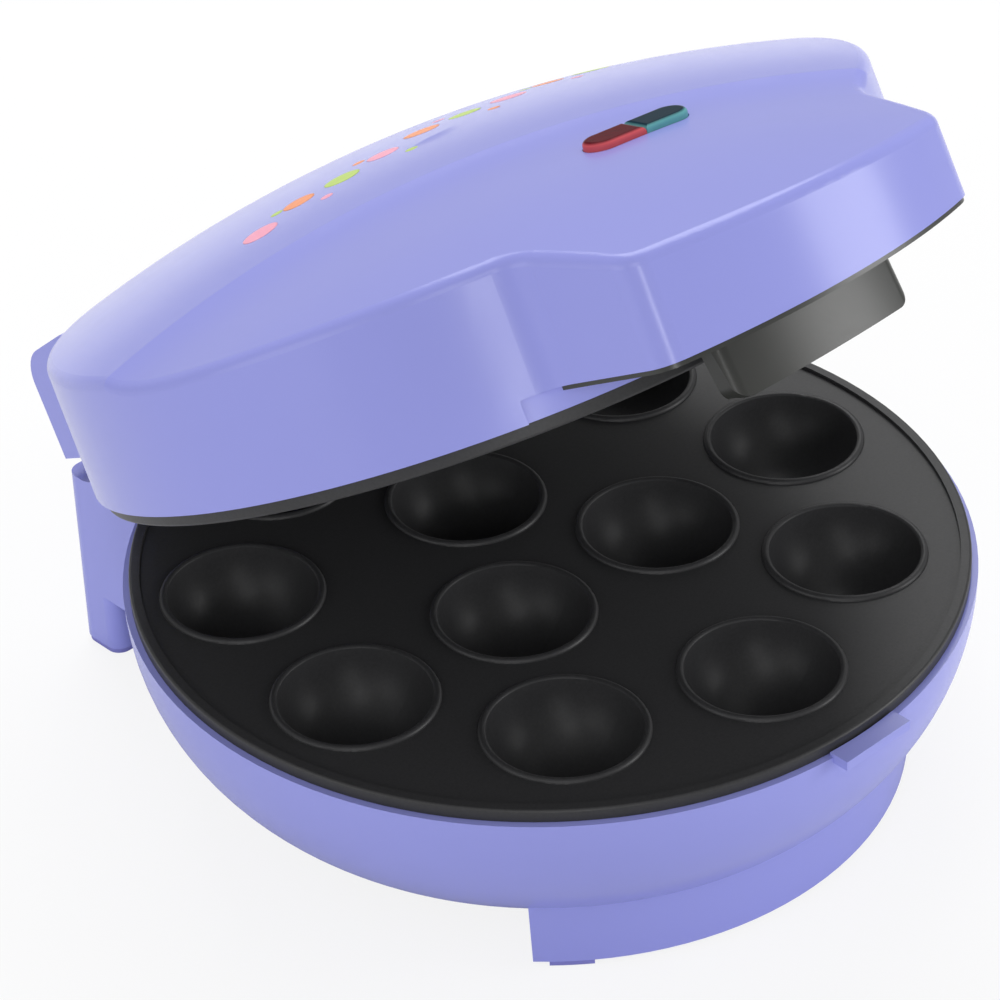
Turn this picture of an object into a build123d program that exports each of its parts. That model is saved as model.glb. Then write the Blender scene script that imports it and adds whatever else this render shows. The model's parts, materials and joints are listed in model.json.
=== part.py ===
from build123d import *
from math import asin, cos, degrees, exp, hypot, radians, sin, sqrt
import os

# Cake pop maker: two round cooking plates with twelve half-ball cups each, carried by a
# bowl-shaped base and a drum-shaped lid that is hinged at the back.
# All sizes are millimetres. Everything is modelled with the lid shut, in the plate frame:
# its origin is the middle of the plates on the plane where they meet, +X to the right,
# +Y to the hinge, +Z up. The last section opens the lid to its rest angle and sets the
# whole on the table, with the origin under the middle of the outline.

# ---------------------------------------------------------------- driving dimensions
plate_height = 58.5            # table to the plane where the plates meet
lid_rest_angle = 27.5          # how far the lid stands open at rest
latch_rest_angle = 8.0         # how far the latch hangs out from its hooked place

# cooking plates
plate_radius = 101.2
ring_centre_y = 3.0            # the cup rings' centre lies behind the plates' centre
ring_inset = 28.0              # plate's edge to the circle of the outer cups' centres
outer_cups = 9
inner_ring_radius = 27.9
inner_cups = 3
inner_shift = 1.8              # the inner ring lies a little to the front
cup_radius = 18.2
cup_wall = 2.0
bead_section = 1.0             # radius of the half-round bead round each cup
bead_overlap = 0.2             # how far a bead's section would reach into its cup
rim_edge_radius = 0.7          # rounding of the plate's top edge
plate_gap = 0.4                # between the two plates' beads when shut
plate_web = 3.0
rim_lip = 2.6                  # width of the raised lip round each plate
skirt_depth = 4.5              # locating wall under each plate
skirt_thickness = 2.0
skirt_clearance = 0.5
seat_clearance = 0.15          # between pieces that seat on each other

# plate fixings
plate_screw_inset = 13.2       # plate's edge to the circle of its screws
plate_boss_radius = 5.0
plate_boss_depth = 6.0
screw_radius = 1.9
screw_clearance = 0.08
screw_head_radius = 3.6
screw_head_height = 2.4
screw_tip_gap = 1.0
tab_thickness = 3.0
tab_width = 13.0
tab_past_screw = 6.5           # how far a shell's tab reaches in past its screw

# heating
element_inset = 22.7           # outer cups' circle to the element's ring
element_tube_radius = 3.1
element_depth = 12.6           # plate face plane to the element's centre line
element_gap_angle = 32.0
element_leg = 15.0
element_pin_radius = 1.4
element_pin_length = 8.0
element_rib_width = 9.0
shield_inset = 17.2            # plate's edge to the shield's
shield_depth = 27.0
shield_thickness = 1.0
shield_rim = 5.0
shield_post_inset = 10.0       # shield's edge to the circle of its posts
shield_post_radius = 3.4
shield_screw_radius = 1.4
shield_screw_length = 8.0
shield_screw_head = 2.8
shield_screw_head_height = 1.4
shield_hole_gap = 2.0
thermostat_radius = 8.5
thermostat_height = 6.0
thermostat_boss_radius = 5.5
thermostat_boss_depth = 19.5
thermostat_tag_length = 26.0
thermostat_tag_width = 4.8
thermostat_tag_thickness = 0.8
fuse_radius = 2.0
fuse_length = 14.0
fuse_y = -41.0
fuse_lead_radius = 0.6
fuse_lead_length = 6.0

# shells
shell_margin = 1.6             # the shells stand out this far round the plates
wall = 2.5
rim_drop = 3.5                 # each shell's rim lies this far from the plane of the plates
bowl_arc = 51.5                # radius of the base's side in section
bowl_depth = 48.0
cover_inset = 34.3             # shell's side to the bottom cover's edge
cover_overlap = 8.5            # of the cover on the bowl's floor
cover_thickness = 2.0
cover_screw_inset = 3.5        # cover's edge to the circle of its screws
cover_boss_radius = 4.3
cover_boss_height = 8.0
cover_slot_length = 34.0
cover_slot_width = 3.0
cover_slots = 5
cover_slot_pitch = 8.0

# front foot under the base
foot_angle = 48.0              # half of the arc that it spans
foot_inset = 15.9              # shell's side to the foot's outer face at the table
foot_depth_radial = 17.0
foot_draft = 4.0
pad_showing = 1.5
pad_inset = 0.4
pad_plug = 4.0
pad_angle = 7.0                # length of a front pad, as an angle
pad_end_angle = 2.5            # from the foot's end to a front pad

# hinge housing at the back
housing_half_width = 54.9
hinge_reach = 8.6              # shell's side to the hinge axis
housing_reach = 6.0            # hinge axis to the housing's back
ear_reach = 6.6                # hinge axis to the ear's back
housing_arch = 41.0            # depth of the arch between bowl and rear leg
housing_skirt = 50.0           # depth that the back wall reaches down to
housing_corner = 4.0
leg_depth = 14.0
leg_width = 13.0
leg_corner = 4.0
hinge_z = 1.5
hinge_scoop = 8.2              # clear radius round the hinge axis in the base
hinge_pin_radius = 1.6
hinge_pin_fit = 0.05
hinge_pin_seat = 0.02
hinge_pin_head_radius = 2.6
hinge_pin_head = 1.2
lug_inner = 33.0
lug_width = 6.0
lug_radius = 3.6
knuckle_radius = 3.9
knuckle_gap = 1.2
knuckle_length = 6.0
lug_root_drop = 18.0           # the lugs run down inside the back wall by this much
bush_radius = 2.6
ear_bottom = 0.0
ear_top = 27.5
ear_corner = 9.0
ear_heel = 4.0                 # rounding of the ear's lower corner
ear_slope_rise = 5.0
ear_root_inset = 22.6          # the ear's sides begin this far inside the shell's side
notch_gap = 1.0
notch_top = 8.0

# lid
lid_draft = 1.0
dome_rim_inset = 1.8           # shell's side to the circle where the dome begins
dome_rim_height = 36.6
dome_rise = 16.1
crest_angle = 29.5             # the crest's turn from left-right, clockwise from above
crest_y = -46.0                # where the crest crosses the middle
crest_sag = 5.5                # how far the crest bends to the back in its middle
crest_half_length = 86.0
hollow_slope = 0.34
hollow_length = 14.5
front_lift = 0.00069
crest_rise = 10.0              # the dome's own surface begins this far behind the crest
crest_edge_radius = 1.0
crest_overlap = 22.0           # the scooped surface is made from this far behind the crest
front_overlap = 28.0           # to this far ahead of the handle
side_overlap = 66.8            # and this far past each side of the shell
top_edge_radius = 3.0
ceiling_drop = 4.5             # the lid's inside is this much below its dome
handle_root_x = 55.5
handle_root_inset = 22.8       # shell's front to where the handle's sides begin
handle_corner_x = 48.0
handle_reach = 14.2            # shell's front to the handle's corners
handle_bow = 10.5              # the handle's front bulges this far past its corners
handle_corner_radius = 9.0
handle_bottom = 9.0
handle_root_radius = 12.0
handle_ceiling = 27.5
handle_cover_thickness = 2.0
handle_cover_inset = 0.25
handle_cover_edge = 1.0        # the cover's edge shows this thick under the handle
handle_cover_margin = 0.5      # and this far in from the handle's outside
handle_slot_gap = 5.2          # the cover's window reaches out this far past the latch
handle_boss_x = 39.5
handle_boss_inset = 10.5       # handle's corners to its screw bosses
lip_recess = 1.2               # the drum's wall is set back this far under the handle
lip_half_width = 61.0
handle_boss_radius = 4.0

# signal lamp
pill_x = 8.5
pill_y = -63.5
pill_turn = -7.0               # the window's long side against left-right
pill_length = 27.6
pill_width = 9.0
pill_height = 1.8
pill_fit = 0.15
pill_edge_radius = 1.2
lens_depth = 4.0
lamp_radius = 2.2
lamp_length = 12.0
holder_wall = 1.5
holder_height = 9.0
holder_gap = 0.6               # under the lid's ceiling

# latch
latch_reach = 7.0              # shell's front to the hooked flap's face, in the middle
latch_pivot_inset = 2.3        # flap's face to the pivot
latch_pivot_z = 17.0
latch_top_half_width = 28.2
latch_bottom_half_width = 26.8
latch_bottom = -8.0
latch_cheek = 5.0              # how far the flap's two ends are turned back
latch_edge_radius = 4.5
latch_plan_radius = 130.0
latch_thickness = 2.5
latch_barrel_radius = 3.6
latch_pin_radius = 1.5
latch_pin_fit = 0.05
latch_side_gap = 0.8
catch_half_width = 10.5
catch_clearance = 0.8          # flap to catch, in the middle
catch_top = -2.6
catch_thickness = 2.5
catch_gap = 0.6
latch_corner_radius = 4.0
bracket_thickness = 2.5
bracket_half_width = 4.0
tooth_reach = 2.6
tooth_height = 2.2

# power inlet
inlet_z = -32.0
inlet_radius = 6.5
inlet_bore = 3.6
inlet_flange_radius = 8.5
inlet_flange = 2.0
inlet_length = 14.0
wire_hole_radius = 5.0

terminal_length = 34.0
terminal_width = 14.0
terminal_height = 9.0
terminal_y = 34.0
wire_radius = 1.3
wire_bend = 4.0
wire_gap = 0.2
supply_wire_spacing = 3.4
lid_wire_z = 38.5
lamp_wire_bend = 1.56
lamp_wire_spread = 0.4         # share of their spacing that the wires keep at the lamp

# ---------------------------------------------------------------- worked-out sizes
face_z = -(plate_gap / 2 + bead_section)        # plate face
web_z = face_z - plate_web                      # plate underside
boss_z = web_z - plate_boss_depth
tab_z = boss_z - seat_clearance
tab_bottom_z = tab_z - tab_thickness
element_z = -element_depth
shield_z = -shield_depth
shield_bottom_z = shield_z - shield_thickness
shell_radius = plate_radius + shell_margin
ring_radius = plate_radius - ring_inset
plate_screw_ring = plate_radius - plate_screw_inset
tab_reach = plate_screw_ring - tab_past_screw
element_ring_radius = ring_radius - element_inset
shield_radius = plate_radius - shield_inset
shield_post_ring = shield_radius - shield_post_inset
cover_radius = shell_radius - cover_inset
cover_opening = cover_radius - cover_overlap
cover_screw_ring = cover_radius - cover_screw_inset
foot_radius = shell_radius - foot_inset
hinge_y = shell_radius + hinge_reach
housing_back = hinge_y + housing_reach
ear_back = hinge_y + ear_reach
dome_rim_radius = shell_radius - dome_rim_inset
handle_root_y = handle_root_inset - shell_radius
handle_corner_y = -shell_radius - handle_reach
handle_front_y = handle_corner_y - handle_bow
handle_boss_y = handle_corner_y + handle_boss_inset
latch_face_y = -shell_radius - latch_reach
latch_pivot_y = latch_face_y + latch_pivot_inset
handle_slot_front = latch_face_y - handle_slot_gap
catch_front = latch_face_y + latch_thickness + catch_clearance
shell_inner_radius = shell_radius - wall
skirt_radius = shell_inner_radius - skirt_clearance
bowl_arc_centre = shell_radius - bowl_arc
bowl_floor_z = wall - bowl_depth
screw_bore = screw_radius + screw_clearance
shield_screw_bore = shield_screw_radius + screw_clearance
pedestal_z = pad_showing - plate_height
cover_z = -bowl_depth - seat_clearance
knuckle_inner = lug_inner + lug_width + knuckle_gap
shield_post_angles = (90, -30, -150)
plate_screw_angles = (50, 130, -30, -150)
cover_screw_angles = (45, 135, 225, 315)
dome_radius = (dome_rim_radius**2 + dome_rise**2) / (2 * dome_rise)
dome_top = dome_rim_height + dome_rise
ring_centre = (0, ring_centre_y)
ring_axis = Axis((0, ring_centre_y, 0), (0, 0, 1))
hinge_axis = Axis((0, hinge_y, hinge_z), (1, 0, 0))
latch_axis = Axis((0, latch_pivot_y, latch_pivot_z), (1, 0, 0))
latch_half_slot = latch_top_half_width + latch_side_gap


def polar(radius, angle, centre=(0, 0)):
    """A point at a radius and an angle from a centre."""
    x = centre[0] + radius * cos(radians(angle))
    y = centre[1] + radius * sin(radians(angle))
    return (x, y)


def bowl_side(z, thickness=0.0):
    """Radius of the bowl's side at a height, on its outside or further in."""
    arc = bowl_arc - thickness
    return bowl_arc_centre + sqrt(arc**2 - (z + rim_drop) ** 2)


def cup_centres():
    """The outer ring of cups starts at the front, the inner ring at the back."""
    middle = (0, ring_centre_y - inner_shift)
    outer_step = 360 / outer_cups
    inner_step = 360 / inner_cups
    outer = [polar(ring_radius, -90 + outer_step * i, ring_centre) for i in range(outer_cups)]
    inner = [polar(inner_ring_radius, 90 + inner_step * i, middle) for i in range(inner_cups)]
    return outer + inner


plate_screw_points = [polar(plate_screw_ring, a) for a in plate_screw_angles]
shield_post_points = [polar(shield_post_ring, a, ring_centre) for a in shield_post_angles]
cover_screw_points = [polar(cover_screw_ring, a) for a in cover_screw_angles]
element_half_gap = element_gap_angle / 2
element_ends = [
    polar(element_ring_radius, 90 - element_half_gap, ring_centre),
    polar(element_ring_radius, 90 + element_half_gap, ring_centre),
]

# ---------------------------------------------------------------- lower cooking plate
# One aluminium casting: a flanged disc with twelve cups, a raised bead round each cup, a
# lip round the edge, a rib under it that holds the heating element, and screw bosses.
cup_places = [(x, y, 0) for x, y in cup_centres()]
with BuildPart() as lower_cooking_plate:
    with Locations(*cup_places):
        Sphere(cup_radius + cup_wall)
    split(bisect_by=Plane.XY.offset(face_z), keep=Keep.BOTTOM)
    with BuildSketch(Plane.XY.offset(face_z)):
        Circle(plate_radius)
    extrude(amount=seat_clearance - rim_drop - face_z)
    with BuildSketch(Plane.XY.offset(face_z)):
        Circle(skirt_radius)
    extrude(amount=-plate_web)
    with BuildSketch(Plane.XY.offset(face_z)):
        Circle(plate_radius)
        Circle(plate_radius - rim_lip, mode=Mode.SUBTRACT)
    extrude(amount=bead_section)
    rim_edges = lower_cooking_plate.edges().filter_by(GeomType.CIRCLE).group_by(SortBy.RADIUS)[-1]
    fillet(rim_edges.sort_by(Axis.Z)[-1], rim_edge_radius)
    with Locations(*[(x, y, face_z) for x, y in cup_centres()]):
        Torus(cup_radius + bead_section - bead_overlap, bead_section)
    with BuildSketch(Plane.XY.offset(face_z)):
        Circle(skirt_radius)
        Circle(skirt_radius - skirt_thickness, mode=Mode.SUBTRACT)
    extrude(amount=-(rim_drop + skirt_depth + face_z))
    with BuildSketch(Plane.XY.offset(face_z)):
        with Locations(*plate_screw_points):
            Circle(plate_boss_radius)
    extrude(amount=boss_z - face_z)
    with BuildSketch(Plane.XY.offset(face_z)):
        with Locations(*shield_post_points):
            Circle(shield_post_radius)
    extrude(amount=shield_z + seat_clearance - face_z)
    with BuildSketch(Plane.XY.offset(face_z)):
        with Locations(ring_centre):
            Circle(thermostat_boss_radius)
    extrude(amount=-thermostat_boss_depth - face_z)
    with BuildSketch(Plane.XY.offset(face_z)):
        with Locations(ring_centre):
            Circle(element_ring_radius + element_rib_width / 2)
            Circle(element_ring_radius - element_rib_width / 2, mode=Mode.SUBTRACT)
    extrude(amount=element_z - face_z)
    with Locations(*cup_places):
        Sphere(cup_radius, mode=Mode.SUBTRACT)
    with BuildSketch(Plane.XZ.offset(-ring_centre_y)):
        with Locations((element_ring_radius, element_z)):
            Circle(element_tube_radius + seat_clearance)
    revolve(axis=ring_axis, mode=Mode.SUBTRACT)
    with BuildSketch(Plane.XY.offset(boss_z)):
        with Locations(*plate_screw_points):
            Circle(screw_bore)
    extrude(amount=plate_boss_depth, mode=Mode.SUBTRACT)
    with BuildSketch(Plane.XY.offset(shield_z + seat_clearance)):
        with Locations(*shield_post_points):
            Circle(shield_screw_bore)
    extrude(amount=shield_screw_length, mode=Mode.SUBTRACT)

# ---------------------------------------------------------------- plate screws
plate_head_z = tab_bottom_z - seat_clearance
with BuildPart() as lower_plate_screws:
    with BuildSketch(Plane.XY.offset(plate_head_z)):
        with Locations(*plate_screw_points):
            Circle(screw_head_radius)
    extrude(amount=-screw_head_height)
    with BuildSketch(Plane.XY.offset(plate_head_z)):
        with Locations(*plate_screw_points):
            Circle(screw_radius)
    extrude(amount=web_z - screw_tip_gap - plate_head_z)

# ---------------------------------------------------------------- heating element
# A sheathed tube bent to a ring, its two ends turned away from the plate.
ring_start = radians(90 + element_half_gap)
element_plane = Plane(
    origin=(0, ring_centre_y, 0),
    x_dir=(cos(ring_start), sin(ring_start), 0),
    z_dir=(sin(ring_start), -cos(ring_start), 0),
)
with BuildPart() as lower_heating_element:
    with BuildSketch(element_plane):
        with Locations((element_ring_radius, element_z)):
            Circle(element_tube_radius)
    revolve(axis=ring_axis, revolution_arc=360 - element_gap_angle)
    with Locations(*[(x, y, element_z) for x, y in element_ends]):
        Sphere(element_tube_radius)
    with BuildSketch(Plane.XY.offset(element_z)):
        with Locations(*element_ends):
            Circle(element_tube_radius)
    extrude(amount=-element_leg)
    with BuildSketch(Plane.XY.offset(element_z - element_leg)):
        with Locations(*element_ends):
            Circle(element_pin_radius)
    extrude(amount=-element_pin_length)

# ---------------------------------------------------------------- heat shield and its screws
# A pressed pan under the element, screwed to three posts of the plate.
with BuildPart() as lower_heat_shield:
    with BuildSketch(Plane.XY.offset(shield_z)):
        with Locations(ring_centre):
            Circle(shield_radius)
    extrude(amount=-shield_thickness)
    with BuildSketch(Plane.XY.offset(shield_z)):
        with Locations(ring_centre):
            Circle(shield_radius)
            Circle(shield_radius - shield_thickness, mode=Mode.SUBTRACT)
    extrude(amount=shield_rim)
    with BuildSketch(Plane.XY.offset(shield_z)):
        with Locations(*element_ends):
            Circle(element_tube_radius + shield_hole_gap)
        with Locations(*shield_post_points):
            Circle(shield_screw_bore)
    extrude(amount=-shield_thickness, mode=Mode.SUBTRACT)

shield_head_z = shield_bottom_z - seat_clearance
shield_screw_top = shield_z + shield_screw_length - screw_tip_gap
with BuildPart() as lower_shield_screws:
    with BuildSketch(Plane.XY.offset(shield_head_z)):
        with Locations(*shield_post_points):
            Circle(shield_screw_head)
    extrude(amount=-shield_screw_head_height)
    with BuildSketch(Plane.XY.offset(shield_head_z)):
        with Locations(*shield_post_points):
            Circle(shield_screw_radius)
    extrude(amount=shield_screw_top - shield_head_z)

# ---------------------------------------------------------------- thermostat and fuse
thermostat_z = -thermostat_boss_depth - seat_clearance
with BuildPart() as lower_thermostat:
    with BuildSketch(Plane.XY.offset(thermostat_z)):
        with Locations(ring_centre):
            Circle(thermostat_radius)
    extrude(amount=-thermostat_height)
    with BuildSketch(Plane.XY.offset(thermostat_z - thermostat_height / 2)):
        with Locations(ring_centre):
            Rectangle(thermostat_tag_length, thermostat_tag_width)
    extrude(amount=thermostat_tag_thickness)

fuse_z = shield_z + fuse_radius + seat_clearance
with BuildPart() as thermal_fuse:
    with BuildSketch(Plane.YZ.offset(-fuse_length / 2)):
        with Locations((fuse_y, fuse_z)):
            Circle(fuse_radius)
    extrude(amount=fuse_length)
    with BuildSketch(Plane.YZ.offset(-fuse_length / 2 - fuse_lead_length)):
        with Locations((fuse_y, fuse_z)):
            Circle(fuse_lead_radius)
    extrude(amount=fuse_length + 2 * fuse_lead_length)

# ---------------------------------------------------------------- the same set in the lid
with BuildPart() as upper_cooking_plate:
    mirror(lower_cooking_plate.part, about=Plane.XY)

with BuildPart() as upper_plate_screws:
    mirror(lower_plate_screws.part, about=Plane.XY)

with BuildPart() as upper_heating_element:
    mirror(lower_heating_element.part, about=Plane.XY)

with BuildPart() as upper_heat_shield:
    mirror(lower_heat_shield.part, about=Plane.XY)

with BuildPart() as upper_shield_screws:
    mirror(lower_shield_screws.part, about=Plane.XY)

with BuildPart() as upper_thermostat:
    mirror(lower_thermostat.part, about=Plane.XY)

# ---------------------------------------------------------------- screw tabs of the shells
with BuildPart() as lower_tabs:
    for angle in plate_screw_angles:
        with BuildSketch(Plane.XY.offset(tab_z).rotated((0, 0, angle))):
            with Locations(((tab_reach + shell_inner_radius + wall / 2) / 2, 0)):
                Rectangle(shell_inner_radius + wall / 2 - tab_reach, tab_width)
        extrude(amount=-tab_thickness)
    with BuildSketch(Plane.XY.offset(tab_z)):
        with Locations(*plate_screw_points):
            Circle(screw_bore)
    extrude(amount=-tab_thickness, mode=Mode.SUBTRACT)

# ---------------------------------------------------------------- base shell
# One moulding: a bowl, a curved foot under its front and a hollow hinge housing with two
# legs behind it, with lugs for the hinge pins and tabs for the plate's screws.
with BuildPart() as bowl_inside:
    with BuildSketch(Plane.XZ):
        with BuildLine():
            inside_turn = degrees(asin((-bowl_floor_z - rim_drop) / (bowl_arc - wall)))
            inside_arc = CenterArc((bowl_arc_centre, -rim_drop), bowl_arc - wall, 0, -inside_turn)
            Polyline(inside_arc @ 1, (0, bowl_floor_z), (0, 0), (shell_inner_radius, 0), inside_arc @ 0)
        make_face()
    revolve(axis=Axis.Z)

foot_top = -rim_drop - wall
hollow_turn = degrees(wall / foot_radius)
leg_middle_x = housing_half_width - leg_width / 2
leg_middle_y = housing_back - leg_depth / 2
leg_points = [(-leg_middle_x, leg_middle_y), (leg_middle_x, leg_middle_y)]
lug_points = [-lug_inner - lug_width, lug_inner]
with BuildPart() as base_shell:
    # front foot
    with BuildSketch(Plane.XY.offset(pedestal_z)):
        with BuildLine():
            foot_start = -90 - foot_angle
            foot_outer = CenterArc((0, 0), foot_radius, foot_start, 2 * foot_angle)
            foot_inner = CenterArc((0, 0), foot_radius - foot_depth_radial, foot_start, 2 * foot_angle)
            Line(foot_outer @ 0, foot_inner @ 0)
            Line(foot_outer @ 1, foot_inner @ 1)
        make_face()
    extrude(amount=foot_top - pedestal_z, taper=-foot_draft / 2)
    with BuildSketch(Plane.XY.offset(pedestal_z)):
        with BuildLine():
            hollow_start = -90 - foot_angle + hollow_turn
            hollow_arc = 2 * (foot_angle - hollow_turn)
            hollow_outer = CenterArc((0, 0), foot_radius - wall, hollow_start, hollow_arc)
            hollow_inner = CenterArc((0, 0), foot_radius - foot_depth_radial + wall, hollow_start, hollow_arc)
            Line(hollow_outer @ 0, hollow_inner @ 0)
            Line(hollow_outer @ 1, hollow_inner @ 1)
        make_face()
    extrude(amount=foot_top - pedestal_z, taper=-foot_draft / 2, mode=Mode.SUBTRACT)
    # hinge housing with its two legs
    housing_front = bowl_side(-housing_arch) - wall
    housing_length = housing_back - housing_front
    housing_middle = (housing_front + housing_back) / 2
    housing_top = -rim_drop - seat_clearance
    with BuildSketch(Plane.XY.offset(housing_top)) as housing_outline:
        with Locations((0, housing_middle)):
            Rectangle(2 * housing_half_width, housing_length)
        fillet(housing_outline.vertices().group_by(Axis.Y)[-1], housing_corner)
    extrude(amount=pedestal_z - housing_top)
    with BuildSketch(Plane.XY.offset(pedestal_z)):
        with Locations((0, housing_middle - wall)):
            Rectangle(2 * (housing_half_width - wall), housing_length)
    extrude(amount=housing_top - wall - pedestal_z, mode=Mode.SUBTRACT)
    with BuildSketch(Plane.XY.offset(pedestal_z)):
        with Locations((0, housing_back)):
            Rectangle(2 * housing_half_width, 2 * housing_length)
    extrude(amount=-housing_arch - pedestal_z, mode=Mode.SUBTRACT)
    with BuildSketch(Plane.XY.offset(-housing_skirt)):
        with Locations((0, housing_back - wall / 2)):
            Rectangle(2 * housing_half_width - leg_width, wall)
    extrude(amount=housing_skirt - housing_arch)
    with BuildSketch(Plane.XY.offset(pedestal_z)) as leg_outline:
        with Locations(*leg_points):
            Rectangle(leg_width, leg_depth)
        fillet(leg_outline.vertices(), leg_corner)
    extrude(amount=-housing_arch - pedestal_z + wall)
    with BuildSketch(Plane.XY.offset(pedestal_z)):
        with Locations(*leg_points):
            RectangleRounded(leg_width - 2 * wall, leg_depth - 2 * wall, leg_corner - wall)
    extrude(amount=-housing_arch - pedestal_z, mode=Mode.SUBTRACT)
    # trough for the lid's ear
    trough_front = hinge_y - hinge_scoop - wall
    trough_back = housing_back - wall / 2
    trough_bottom = hinge_z - hinge_scoop - wall
    with BuildSketch(Plane.YZ.offset(wall / 2 - housing_half_width)):
        with Locations((hinge_y, hinge_z)):
            Circle(hinge_scoop + wall)
        with Locations((hinge_y + hinge_scoop, hinge_z)):
            Rectangle(2 * hinge_scoop, 2 * (hinge_scoop + wall))
        with Locations(((trough_front + trough_back) / 2, (trough_bottom + housing_top) / 2)):
            Rectangle(trough_back - trough_front, housing_top - trough_bottom, mode=Mode.INTERSECT)
    extrude(amount=2 * housing_half_width - wall)
    with BuildSketch(Plane.YZ.offset(-housing_half_width)):
        with Locations((hinge_y, hinge_z)):
            Circle(hinge_scoop)
        with Locations((hinge_y + hinge_scoop, hinge_z)):
            Rectangle(2 * hinge_scoop, 2 * hinge_scoop)
    extrude(amount=2 * housing_half_width, mode=Mode.SUBTRACT)
    # catch for the latch
    with BuildSketch(Plane.XY.offset(catch_top)):
        with Locations((0, (catch_front - shell_inner_radius) / 2)):
            Rectangle(2 * catch_half_width, -catch_front - shell_inner_radius)
    extrude(amount=-catch_thickness)
    with BuildSketch(Plane.XY.offset(-rim_drop)):
        Circle(plate_radius + skirt_clearance)
    extrude(amount=rim_drop, mode=Mode.SUBTRACT)
    # bowl
    add(bowl_inside.part, mode=Mode.SUBTRACT)
    with BuildSketch(Plane.XZ):
        with BuildLine():
            side_centre = (bowl_arc_centre, -rim_drop)
            outside_turn = degrees(asin((bowl_depth - rim_drop) / bowl_arc))
            outer_side = CenterArc(side_centre, bowl_arc, 0, -outside_turn)
            inner_side = CenterArc(side_centre, bowl_arc - wall, 0, -inside_turn)
            Line(outer_side @ 0, inner_side @ 0)
            Polyline(
                outer_side @ 1,
                (cover_opening, -bowl_depth),
                (cover_opening, bowl_floor_z),
                inner_side @ 1,
            )
        make_face()
    revolve(axis=Axis.Z)
    add(lower_tabs.part)
    # bosses for the cover's screws
    with BuildSketch(Plane.XY.offset(-bowl_depth)):
        with Locations(*cover_screw_points):
            Circle(cover_boss_radius)
    extrude(amount=wall + cover_boss_height)
    with BuildSketch(Plane.XY.offset(-bowl_depth)):
        with Locations(*cover_screw_points):
            Circle(screw_bore)
    extrude(amount=wall + cover_boss_height - screw_tip_gap, mode=Mode.SUBTRACT)
    # lugs for the hinge pins
    lug_back = housing_back - wall / 2
    scoop_bottom = hinge_z - hinge_scoop
    for lug_x in lug_points:
        with BuildSketch(Plane.YZ.offset(lug_x)):
            with BuildLine():
                Polyline(
                    (hinge_y - lug_radius, hinge_z),
                    (hinge_y + lug_radius, hinge_z),
                    (hinge_y + lug_radius, scoop_bottom),
                    (lug_back, scoop_bottom - wall),
                    (lug_back, scoop_bottom - lug_root_drop),
                    (hinge_y - lug_radius, scoop_bottom - lug_root_drop / 2),
                    close=True,
                )
            make_face()
            with Locations((hinge_y, hinge_z)):
                Circle(lug_radius)
                Circle(hinge_pin_radius + hinge_pin_seat, mode=Mode.SUBTRACT)
        extrude(amount=lug_width)
    # cord inlet and the wires' way into the bowl
    with BuildSketch(Plane.XZ.offset(-housing_back - wall)):
        with Locations((0, inlet_z)):
            Circle(inlet_radius + seat_clearance)
    extrude(amount=3 * wall, mode=Mode.SUBTRACT)
    with BuildSketch(Plane.XZ.offset(-bowl_side(inlet_z) - wall)):
        with Locations((0, inlet_z)):
            Circle(wire_hole_radius)
    extrude(amount=5 * wall, mode=Mode.SUBTRACT)

# ---------------------------------------------------------------- feet
pad_top = pedestal_z - seat_clearance
plug_outer = foot_radius - wall - seat_clearance
plug_inner = foot_radius - foot_depth_radial + wall + seat_clearance
with BuildPart() as front_feet:
    for side in (-1, 1):
        pad_start = -90 + side * (foot_angle - pad_end_angle)
        with BuildSketch(Plane.XY.offset(-plate_height)):
            with BuildLine():
                pad_outer = CenterArc((0, 0), foot_radius - pad_inset, pad_start, -side * pad_angle)
                pad_inner = CenterArc(
                    (0, 0), foot_radius - foot_depth_radial + pad_inset, pad_start, -side * pad_angle
                )
                Line(pad_outer @ 0, pad_inner @ 0)
                Line(pad_outer @ 1, pad_inner @ 1)
            make_face()
        extrude(amount=plate_height + pad_top)
        with BuildSketch(Plane.XY.offset(pad_top)):
            with BuildLine():
                plug_out = CenterArc((0, 0), plug_outer, pad_start, -side * pad_angle)
                plug_in = CenterArc((0, 0), plug_inner, pad_start, -side * pad_angle)
                Line(plug_out @ 0, plug_in @ 0)
                Line(plug_out @ 1, plug_in @ 1)
            make_face()
        extrude(amount=pad_plug)

with BuildPart() as rear_feet:
    with BuildSketch(Plane.XY.offset(-plate_height)):
        with Locations(*leg_points):
            RectangleRounded(leg_width - 2 * pad_inset, leg_depth - 2 * pad_inset, leg_corner - pad_inset)
    extrude(amount=plate_height + pad_top)
    with BuildSketch(Plane.XY.offset(pad_top)):
        with Locations(*leg_points):
            RectangleRounded(
                leg_width - 2 * (wall + seat_clearance),
                leg_depth - 2 * (wall + seat_clearance),
                leg_corner - wall - seat_clearance,
            )
    extrude(amount=pad_plug)

# ---------------------------------------------------------------- bottom cover and screws
slot_span = cover_slot_pitch * (cover_slots - 1)
slot_points = [(0, cover_slot_pitch * i - slot_span / 2) for i in range(cover_slots)]
with BuildPart() as bottom_cover:
    with BuildSketch(Plane.XY.offset(cover_z)):
        Circle(cover_radius)
        with Locations(*slot_points):
            SlotOverall(cover_slot_length, cover_slot_width, mode=Mode.SUBTRACT)
        with Locations(*cover_screw_points):
            Circle(screw_bore, mode=Mode.SUBTRACT)
    extrude(amount=-cover_thickness)

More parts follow.
